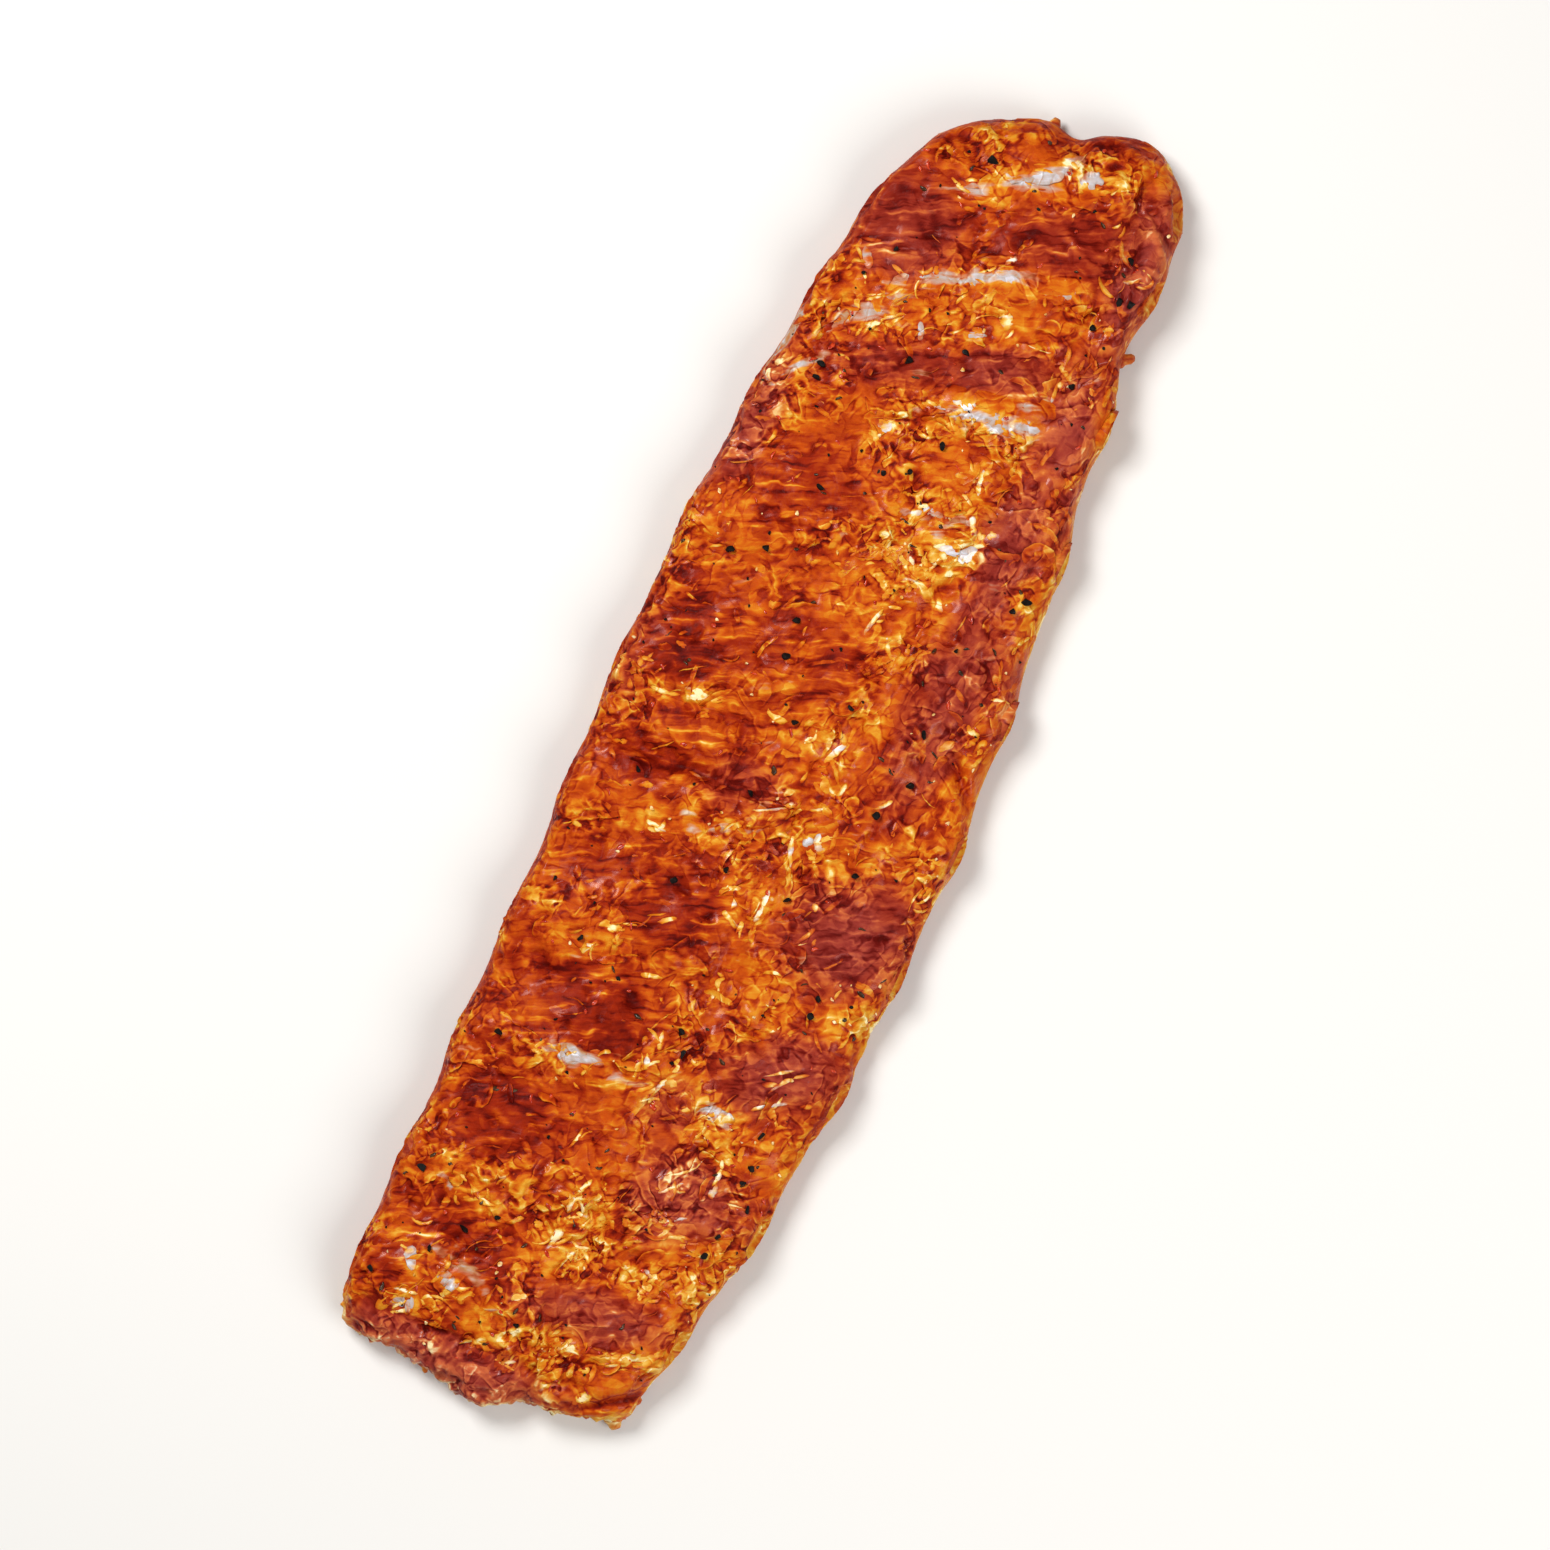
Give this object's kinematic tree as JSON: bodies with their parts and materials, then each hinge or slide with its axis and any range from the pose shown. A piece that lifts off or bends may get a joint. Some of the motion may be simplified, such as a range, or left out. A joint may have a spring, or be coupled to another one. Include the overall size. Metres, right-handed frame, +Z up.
{
  "type": "rack of ribs",
  "caption": "Flat marinated rack of pork ribs, bone side up, with slanting rib bones through it, for laying on a grill, board or tray.",
  "frame": {"origin": "middle of the rack's bounding box seen from above, on the surface it lies on", "axes": "+X across the rack towards the belly flap, +Y along it towards the narrow end, +Z up out of the bone side"},
  "size_m": [0.1008, 0.36, 0.0205],
  "materials": {
    "meat": "wet orange-red spice marinade over meat and fat, glossy and mottled",
    "bone": "pale bone and silverskin, wet, stained orange at the edges"
  },
  "bodies": {
    "root": {"meat": "meat", "rib_01": "bone", "rib_02": "bone", "rib_03": "bone", "rib_04": "bone", "rib_05": "bone", "rib_06": "bone", "rib_07": "bone", "rib_08": "bone", "rib_09": "bone", "rib_10": "bone"}
  },
  "joints": []
}
